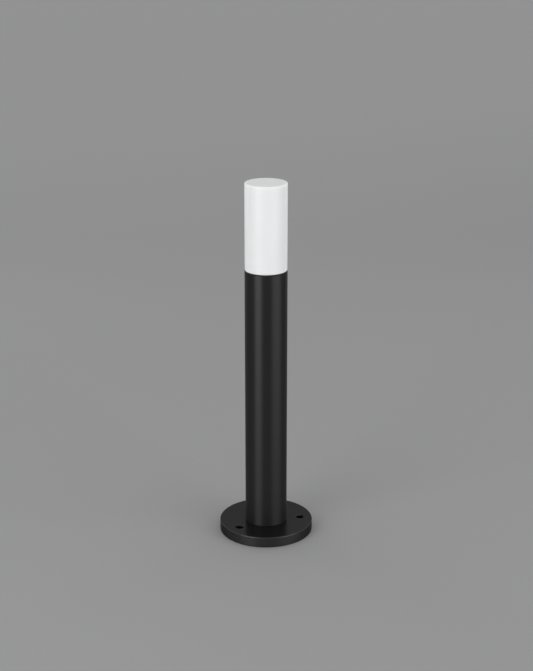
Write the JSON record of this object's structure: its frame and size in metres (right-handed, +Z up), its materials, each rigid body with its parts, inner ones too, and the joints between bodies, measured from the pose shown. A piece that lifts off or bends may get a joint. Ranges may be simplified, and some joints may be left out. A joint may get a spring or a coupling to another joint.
{
  "type": "bollard light",
  "caption": "Outdoor bollard light: a black round post on a flanged base with an opal cylinder diffuser over a screw-in lamp.",
  "frame": {"origin": "centre of the base plate's underside, on the post's axis", "axes": "+Z up the post; +Y towards the anchor hole that stands alone, the other two being mirror images about the YZ plane"},
  "size_m": [0.13, 0.13, 0.5],
  "materials": {
    "black_powder_coat": "satin black powder coat over aluminium",
    "opal_diffuser": "satin opal polycarbonate",
    "black_rubber": "moulded rubber",
    "bare_aluminium": "turned and die-cast, uncoated",
    "stainless_screws": "stainless steel",
    "zinc_plated_steel": "zinc-plated sheet",
    "white_ceramic": "glazed",
    "contact_brass": "drawn brass",
    "nickel_shell": "nickel-plated",
    "terminal_plastic": "moulded polyamide",
    "brown_wire": "silicone insulation",
    "blue_wire": "silicone insulation",
    "green_yellow_wire": "silicone insulation, striped",
    "tinned_copper": "tin-plated",
    "cap_insulator": "black vitrite glass or plastic",
    "driver_board_fr4": "solder mask",
    "capacitor_can": "printed sleeve, no text",
    "coil_copper": "enamelled copper",
    "lamp_white_plastic": "moulded",
    "led_board_white": "white solder mask on aluminium",
    "led_phosphor": "silicone over phosphor",
    "lamp_globe_opal": "frosted"
  },
  "bodies": {
    "post": {"base_plate": "black_powder_coat", "post_tube": "black_powder_coat", "cable_grommet": "black_rubber", "foot_ring": "bare_aluminium", "seat_ring": "bare_aluminium", "lamp_carrier": "bare_aluminium", "base_screws": "stainless_screws", "base_washers": "stainless_screws", "carrier_screws": "stainless_screws", "holder_screws": "stainless_screws", "block_screw": "stainless_screws", "clamp_screws": "stainless_screws", "earth_screw": "stainless_screws", "terminal_bracket": "zinc_plated_steel", "cord_clamp": "zinc_plated_steel", "holder_body": "white_ceramic", "holder_contact": "contact_brass", "holder_terminals": "contact_brass", "terminal_sleeves": "contact_brass", "terminal_screws": "contact_brass", "holder_shell": "nickel_shell", "terminal_block": "terminal_plastic", "live_wire": "brown_wire", "neutral_wire": "blue_wire", "earth_wire": "green_yellow_wire", "earth_lug": "tinned_copper"},
    "seal": {"diffuser_seal": "black_rubber"},
    "diffuser": {"diffuser": "opal_diffuser"},
    "lamp_tip": {"lamp_contact": "tinned_copper"},
    "lamp": {"lamp_insulator": "cap_insulator", "lamp_cap": "nickel_shell", "lamp_driver_board": "driver_board_fr4", "lamp_capacitor": "capacitor_can", "lamp_coil": "coil_copper", "lamp_housing": "lamp_white_plastic", "lamp_board": "led_board_white", "lamp_leds": "led_phosphor", "lamp_globe": "lamp_globe_opal"}
  },
  "joints": [
    {"name": "diffuser_lift", "type": "slide", "parent": "post", "child": "seal", "axis": [0, 0, 1], "range_m": [0, 0.1]},
    {"name": "diffuser_turn", "type": "hinge", "parent": "seal", "child": "diffuser", "pos_m": [0, 0, 0.381], "axis": [0, 0, 1], "range_deg": [-30, 0]},
    {"name": "lamp_rise", "type": "slide", "parent": "post", "child": "lamp_tip", "axis": [0, 0, 1], "range_m": [0, 0.0109]},
    {"name": "lamp_turn", "type": "hinge", "parent": "lamp_tip", "child": "lamp", "pos_m": [0, 0, 0.37], "axis": [0, 0, 1], "range_deg": [0, 1080]}
  ],
  "couplings": [
    {"joint": "lamp_rise", "follows": "lamp_turn", "m_per_rad": 0.0005775}
  ]
}
